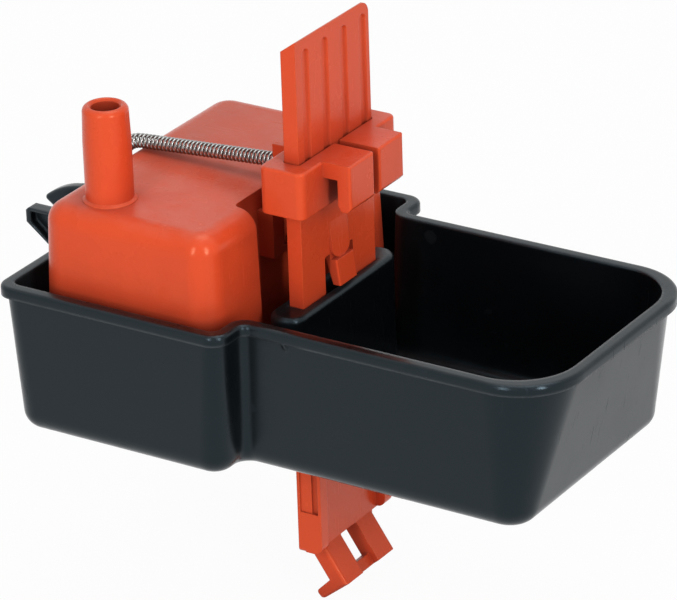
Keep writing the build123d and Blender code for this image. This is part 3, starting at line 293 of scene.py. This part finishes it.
# %% Group: painted shade in crevices
def painted_crevice_shade():
    tree, given, gives = new_group(
        "painted_crevice_shade",
        [("Reach", "Float", 0.012), ("Grime", "Float", 0.5), ("Dulling", "Float", 0.4)],
        [("Grime", "Float"), ("Dull", "Float")],
    )
    open_sky = add(tree, "ShaderNodeAmbientOcclusion", {"Distance": given["Reach"]}, samples=8)
    where = add(tree, "ShaderNodeTexCoord").outputs["Object"]
    ragged = add(tree, "ShaderNodeTexNoise", {"Vector": where, "Scale": 140.0, "Detail": 4.0})
    spread = add(tree, "ShaderNodeMapRange", {
        "Value": ragged.outputs["Fac"], "To Min": -0.12, "To Max": 0.12})
    closed = sum_of(tree, "ADD", open_sky.outputs["AO"], spread.outputs["Result"])
    # Where the space is blocked the colour darkens: painted shade in creases and recesses.
    dark = add(tree, "ShaderNodeMapRange", {"Value": closed, "From Min": 0.92, "From Max": 0.30})
    dark = dark.outputs["Result"]
    dull = sum_of(tree, "MULTIPLY", dark, given["Dulling"], clamp=True)
    dark = sum_of(tree, "MULTIPLY", dark, given["Grime"], clamp=True)
    tree.links.new(dark, gives["Grime"])
    tree.links.new(dull, gives["Dull"])
    return tree


CREVICE_SHADE = painted_crevice_shade()
print("group", CREVICE_SHADE.name)

# %% [markdown]
# ## Finishes for the plastics
#
# All the plastics are the same recipe with different numbers: a base colour that drifts a little
# with the cloudiness of the melt, a paler tone on edges that is part rubbed wear and part painted
# highlight, dust on what faces up, painted shade in the crevices, and the moulded skin as bump. So
# one function makes them, and each finish is a short list of values. Order matters: dust lies over
# the paler edges, and the painted shade over everything.


# %% Plastic recipe
DUST_COLOUR = (0.62, 0.58, 0.52, 1)
CREVICE_REACH = 18 * MM  # how far the painted crevice shade looks for a surface close by
CREVICE_DULLING = 0.45  # roughness that the crevice mask adds at full strength
GRAIN_SHARE = 0.25  # of the fine grain, against the larger waviness
SKIN_DEPTH = 0.2 * MM
PLASTIC_IOR = 1.45


def mix_colour(tree, amount, first, second):
    node = add(tree, "ShaderNodeMix", {0: amount, 6: first, 7: second}, data_type="RGBA")
    return node.outputs[2]


def plastic(name, colour, deep, worn_and_highlight, shade_colour, gloss, sheen=0.5, tint=(1, 1, 1), wave=6.0, grain=0.5,
            bump=0.05, radius=0.35, wear_and_highlight=0.4, dust=0.15, scuffs=0.2, shade_amount=0.6):
    """Moulded plastic: colour drifts to deep; edges turn paler, part wear and part painted highlight;
    crevices darken as painted shade; gloss is a (low, high) roughness, and sheen how strongly the
    surface mirrors."""
    material, tree, shader = new_finish(
        name, IOR=PLASTIC_IOR, Specular_IOR_Level=sheen, Specular_Tint=(*tint, 1))
    skin = place_group(tree, SKIN, Wave_size=wave, Grain_size=grain, Grain=GRAIN_SHARE,
                       Gloss_low=gloss[0], Gloss_high=gloss[1])
    edges = place_group(tree, EDGE_WEAR_AND_HIGHLIGHT, Radius=radius * MM, Wear=wear_and_highlight)
    marks = place_group(tree, MARKS, Dust=dust, Scuffs=scuffs)
    crevice_shade = place_group(tree, CREVICE_SHADE, Reach=CREVICE_REACH, Grime=shade_amount,
                          Dulling=CREVICE_DULLING)
    body = mix_colour(tree, skin["Cloud"], (*deep, 1), (*colour, 1))
    # Edges turn paler: part rubbed wear, and on the black trough mostly a painted highlight line.
    body = mix_colour(tree, edges["Edge"], body, (*worn_and_highlight, 1))
    body = mix_colour(tree, marks["Dust"], body, DUST_COLOUR)
    # Painted shade: the colour darkens towards the dark crevice colour where occlusion finds surfaces close
    # by.
    body = mix_colour(tree, crevice_shade["Grime"], body, (*shade_colour, 1))
    rough = sum_of(tree, "ADD", skin["Roughness"], marks["Scuff"])
    rough = sum_of(tree, "ADD", rough, crevice_shade["Dull"], clamp=True)
    relief = add(tree, "ShaderNodeBump", {
        "Height": skin["Height"], "Strength": bump, "Distance": SKIN_DEPTH, "Normal": edges["Normal"]})
    tree.links.new(body, shader.inputs["Base Color"])
    tree.links.new(rough, shader.inputs["Roughness"])
    tree.links.new(relief.outputs[0], shader.inputs["Normal"])
    return material


# %% The plastics
# In each finish the dark crevice colour and its amount paint the shade in creases and recesses.
orange_plastic = plastic(
    "orange plastic", colour=(0.72, 0.076, 0.022), deep=(0.62, 0.059, 0.018), worn_and_highlight=(0.84, 0.17, 0.05),
    shade_colour=(0.17, 0.018, 0.012), gloss=(0.19, 0.30), sheen=0.37, tint=(1.0, 0.7, 0.45), dust=0.10,
    wear_and_highlight=0.35, shade_amount=0.6)
# The trough's pale edge colour and strong wear paint a thin highlight line along its rims and corners.
trough_plastic = plastic(
    "trough plastic", colour=(0.0030, 0.0040, 0.0048), deep=(0.0022, 0.0025, 0.0030),
    worn_and_highlight=(0.085, 0.093, 0.102), shade_colour=(0.001, 0.001, 0.0012), gloss=(0.14, 0.25), sheen=0.44,
    tint=(0.62, 0.85, 1.0), wave=9.0, grain=0.8, bump=0.06, radius=1.3, dust=0.02, wear_and_highlight=0.75)
float_plastic = plastic(
    "float plastic", colour=(0.74, 0.75, 0.72), deep=(0.66, 0.68, 0.64), worn_and_highlight=(0.82, 0.82, 0.8),
    shade_colour=(0.40, 0.39, 0.34), gloss=(0.38, 0.5), dust=0.05, scuffs=0.1)
valve_plastic = plastic(
    "valve plastic", colour=(0.58, 0.6, 0.6), deep=(0.5, 0.52, 0.52), worn_and_highlight=(0.7, 0.7, 0.7),
    shade_colour=(0.30, 0.29, 0.26), gloss=(0.4, 0.52), radius=0.2, dust=0.05, scuffs=0.1)
rubber = plastic(
    "valve rubber", colour=(0.02, 0.02, 0.02), deep=(0.015, 0.015, 0.015), worn_and_highlight=(0.06, 0.06, 0.06),
    shade_colour=(0.01, 0.01, 0.01), gloss=(0.6, 0.75), wave=2.0, grain=0.25, bump=0.1, radius=0.15, dust=0.1)
print("plastics", [m.name for m in (orange_plastic, trough_plastic, float_plastic, valve_plastic, rubber)])

# %% [markdown]
# ## Finish for the steel
#
# Spring wire is drawn through a die, which leaves it bright with faint lines and a few dull spots
# where the zinc has weathered. It is a metal, so its colour is the colour of its reflections.


# %% Drawn steel
BRIGHT_STEEL = (0.40, 0.40, 0.39, 1)
DULL_STEEL = (0.20, 0.20, 0.19, 1)


def drawn_steel():
    material, tree, shader = new_finish("drawn steel", Metallic=1.0, IOR=2.5)
    where = add(tree, "ShaderNodeTexCoord").outputs["Object"]
    spots = add(tree, "ShaderNodeTexNoise", {"Vector": where, "Scale": 600.0, "Detail": 6.0}).outputs["Fac"]
    dull = add(tree, "ShaderNodeMapRange", {"Value": spots, "From Min": 0.42, "From Max": 0.7})
    colour = mix_colour(tree, dull.outputs["Result"], BRIGHT_STEEL, DULL_STEEL)
    rough = add(tree, "ShaderNodeMapRange", {"Value": spots, "To Min": 0.10, "To Max": 0.34})
    fine = add(tree, "ShaderNodeTexNoise", {"Vector": where, "Scale": 4000.0}).outputs["Fac"]
    relief = add(tree, "ShaderNodeBump", {"Height": fine, "Strength": 0.15, "Distance": 0.02 * MM})
    tree.links.new(colour, shader.inputs["Base Color"])
    tree.links.new(rough.outputs["Result"], shader.inputs["Roughness"])
    tree.links.new(relief.outputs[0], shader.inputs["Normal"])
    return material


steel = drawn_steel()
FINISHES = {"trough_plastic": trough_plastic, "orange_plastic": orange_plastic, "rubber": rubber,
            "float_plastic": float_plastic, "valve_plastic": valve_plastic, "steel": steel}

# %% [markdown]
# ## Dress the CAD nodes
#
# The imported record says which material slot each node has, so the finishes are handed out by slot
# and no list of nodes is kept here. The nodes' own shapes and shading stay as the CAD gives them.


# %% Give each node its finish
def dress_nodes():
    for part in frame["record"]["subparts"]:
        node = frame["nodes"][part["node"]]
        node.data.materials.clear()
        node.data.materials.append(FINISHES[part["material_slot"]])


dress_nodes()

# %% [markdown]
# ## The retaining spring
#
# This is a long tension spring of round wire. It runs from a bar behind the trough, up over the
# rounded back edge of the housing, and along its top to the bracket. Its wire is one helix wound
# round that route, with an open loop at each end round its bar. The CAD model has a plain tube of
# the same outside size, so the wire here replaces it and keeps inside it.
#
# The route is two straight runs that touch a circle concentric with the housing's edge. A point
# moves along it at a steady pace, and the helix turns about it in the plane across its direction.

# %% Spring sizes
WIRE_RADIUS = 0.36 * MM
OUTER_RADIUS = 2.15 * MM  # of the coils
COIL_RADIUS = OUTER_RADIUS - WIRE_RADIUS
LOOP_RADIUS = 2.3 * MM
LOOP_LIFT = 0.43 * MM  # the loop's middle, from its bar towards the coils
LOOP_TURN = (68, 330, 20)  # degrees, where the open loop starts and ends, and its step
COIL_START = 1.95 * MM  # the first coil, from its bar
TURNS = 64
STEPS = 12  # points in one turn
BAR_REAR = Vector((-77.4, 0, -2.0)) * MM
BAR_FRONT = Vector((-8.9, 0, 28.6)) * MM
HOUSING_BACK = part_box("float_housing")[0].x
HOUSING_TOP = 22.7 * MM  # its flat top, under the spring
EDGE_RADIUS = 5.6 * MM  # of the housing's rounded back edge
REST_GAP = 0.15 * MM  # between the coils and that edge
EDGE_MIDDLE = Vector((HOUSING_BACK + EDGE_RADIUS, 0, HOUSING_TOP - EDGE_RADIUS))
BEND = EDGE_RADIUS + OUTER_RADIUS + REST_GAP


# %% The route of the coils
def tangent_angle(bar, side):
    """Angle on the bend circle where the straight run from a bar touches it."""
    out = bar - EDGE_MIDDLE
    return atan2(out.z, out.x) % (2 * pi) + side * acos(BEND / out.length)


LOW_ANGLE = tangent_angle(BAR_REAR, -1)
HIGH_ANGLE = tangent_angle(BAR_FRONT, 1)


def on_bend(angle):
    return EDGE_MIDDLE + Vector((cos(angle), 0, sin(angle))) * BEND


REAR_WAY = (on_bend(LOW_ANGLE) - BAR_REAR).normalized()
FRONT_WAY = (on_bend(HIGH_ANGLE) - BAR_FRONT).normalized()
ROUTE_START = BAR_REAR + REAR_WAY * COIL_START
ROUTE_END = BAR_FRONT + FRONT_WAY * COIL_START
FIRST_RUN = (on_bend(LOW_ANGLE) - ROUTE_START).length
BEND_RUN = (LOW_ANGLE - HIGH_ANGLE) * BEND
LAST_RUN = (ROUTE_END - on_bend(HIGH_ANGLE)).length
ROUTE_LENGTH = FIRST_RUN + BEND_RUN + LAST_RUN
print("housing's back at mm", round(HOUSING_BACK / MM, 2), "route mm", round(ROUTE_LENGTH / MM, 1),
      "pitch mm", round(ROUTE_LENGTH / MM / TURNS, 2))


def along_route(distance):
    """(point, direction) at a distance along the route."""
    if distance < FIRST_RUN:
        return ROUTE_START + REAR_WAY * distance, REAR_WAY
    if distance < FIRST_RUN + BEND_RUN:
        angle = LOW_ANGLE - (distance - FIRST_RUN) / BEND
        return on_bend(angle), Vector((sin(angle), 0, -cos(angle)))
    left = ROUTE_LENGTH - distance
    return ROUTE_END + FRONT_WAY * left, -FRONT_WAY


# %% The wire of the spring
def end_loop(bar, way, side):
    """Points of the open loop round a bar, from the coils round to just short of closing."""
    middle = bar + way * LOOP_LIFT
    across = Vector((-way.z, 0, way.x)) * side
    points = []
    for degrees in range(*LOOP_TURN):
        angle = radians(degrees)
        points.append(middle + (way * cos(angle) + across * sin(angle)) * LOOP_RADIUS)
    return points


def coil_points():
    points = []
    for step in range(TURNS * STEPS + 1):
        point, direction = along_route(ROUTE_LENGTH * step / (TURNS * STEPS))
        up = Vector((-direction.z, 0, direction.x))
        turn = 2 * pi * step / STEPS
        points.append(point + (up * cos(turn) + Vector((0, 1, 0)) * sin(turn)) * COIL_RADIUS)
    return points


def wind_spring():
    rear = end_loop(BAR_REAR, REAR_WAY, 1)
    front = end_loop(BAR_FRONT, FRONT_WAY, -1)
    points = rear[::-1] + coil_points() + front
    curve = bpy.data.curves.new("wound spring", "CURVE")
    curve.dimensions = "3D"
    curve.bevel_depth = WIRE_RADIUS
    curve.bevel_resolution = 3
    curve.resolution_u = 2
    curve.use_fill_caps = True
    wire = curve.splines.new("NURBS")
    wire.points.add(len(points) - 1)
    for slot, point in zip(wire.points, points):
        slot.co = (*point, 1.0)
    wire.order_u = 4
    wire.use_endpoint_u = True
    curve.materials.append(steel)
    spring = bpy.data.objects.new("wound_spring", curve)
    bpy.context.scene.collection.objects.link(spring)
    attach(spring, "drinker")
    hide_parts("retaining_spring")
    print("spring wire", len(points), "points,", TURNS, "turns")


wind_spring()

# %% [markdown]
# ## The studio
#
# The drinker stands on a pale floor under soft light. Two tall, narrow lamps stand left and right of
# the front: the left one models the long side, the right one lights the ends. Being narrow, they leave
# short glints on the rounded corners and no long streaks. A broad lamp overhead lights the tops.
# Glossy black plastic shows little of its own colour: what is seen on it is the floor and the sky,
# so both are white for reflections and for the camera, and the lamps stay at a plain level.

# %% Floor
FLOOR_SIZE = 8.0  # metres
FLOOR_GREY = (0.75, 0.75, 0.75, 1)
FLOOR_SHOWN = 0.96  # share of the floor's look that is plain white


def seen_directly(tree):
    """1 for rays that show the backdrop itself, also mirrored in or seen through the object."""
    ray = add(tree, "ShaderNodeLightPath").outputs
    seen = sum_of(tree, "ADD", ray["Is Camera Ray"], ray["Is Glossy Ray"])
    return sum_of(tree, "ADD", seen, ray["Is Transmission Ray"], clamp=True)


def pale_floor():
    mesh = bpy.data.meshes.new("floor")
    half = FLOOR_SIZE / 2
    level = cad_low.z
    crevice_shade = [(-half, -half, level), (half, -half, level), (half, half, level), (-half, half, level)]
    mesh.from_pydata(crevice_shade, [], [(0, 1, 2, 3)])
    floor = bpy.data.objects.new("floor", mesh)
    bpy.context.scene.collection.objects.link(floor)
    material = bpy.data.materials.new("pale floor")
    material.use_nodes = True
    tree = material.node_tree
    tree.nodes.clear()
    matt = add(tree, "ShaderNodeBsdfDiffuse", {"Color": FLOOR_GREY})
    white = add(tree, "ShaderNodeEmission", {"Color": (1, 1, 1, 1), "Strength": 1.0})
    shown = sum_of(tree, "MULTIPLY", seen_directly(tree), FLOOR_SHOWN)
    mixed = add(tree, "ShaderNodeMixShader", {0: shown, 1: matt.outputs[0], 2: white.outputs[0]})
    add(tree, "ShaderNodeOutputMaterial", {0: mixed.outputs[0]})
    mesh.materials.append(material)


pale_floor()
print("floor at mm", round(cad_low.z / MM, 1))


# %% World
SKY_LIGHT = 0.42  # strength of the light that the surroundings give
SKY_COLOUR = (0.95, 0.97, 1, 1)


def white_world():
    world = bpy.data.worlds.new("studio")
    bpy.context.scene.world = world
    world.use_nodes = True
    tree = world.node_tree
    tree.nodes.clear()
    light = add(tree, "ShaderNodeBackground", {"Color": SKY_COLOUR, "Strength": SKY_LIGHT})
    shown = add(tree, "ShaderNodeBackground", {"Color": (1, 1, 1, 1), "Strength": 1.0})
    mixed = add(tree, "ShaderNodeMixShader", {
        0: seen_directly(tree), 1: light.outputs[0], 2: shown.outputs[0]})
    add(tree, "ShaderNodeOutputWorld", {0: mixed.outputs[0]})


white_world()


# %% Lamps
LAMPS = (  # name, place and size in metres, power in watts
    ("key lamp", (0.10, -1.50, 0.50), 0.28, 1.0, 9.0),
    ("fill lamp", (1.35, -0.70, 0.45), 0.28, 1.0, 12.5),
    ("top lamp", (0.1, 0.3, 1.5), 0.9, 0.9, 7.0),
)


def soft_lamp(name, place, width, height, power):
    """An oblong area lamp that points at the middle of the drinker."""
    light = bpy.data.lights.new(name, "AREA")
    light.shape = "RECTANGLE"
    light.size = width
    light.size_y = height
    light.energy = power
    lamp = bpy.data.objects.new(name, light)
    lamp.location = place
    middle = (cad_low + cad_high) / 2
    lamp.rotation_euler = (middle - Vector(place)).to_track_quat("-Z", "Y").to_euler()
    bpy.context.scene.collection.objects.link(lamp)


for lamp in LAMPS:
    soft_lamp(*lamp)
bpy.context.scene.view_settings.view_transform = "Standard"
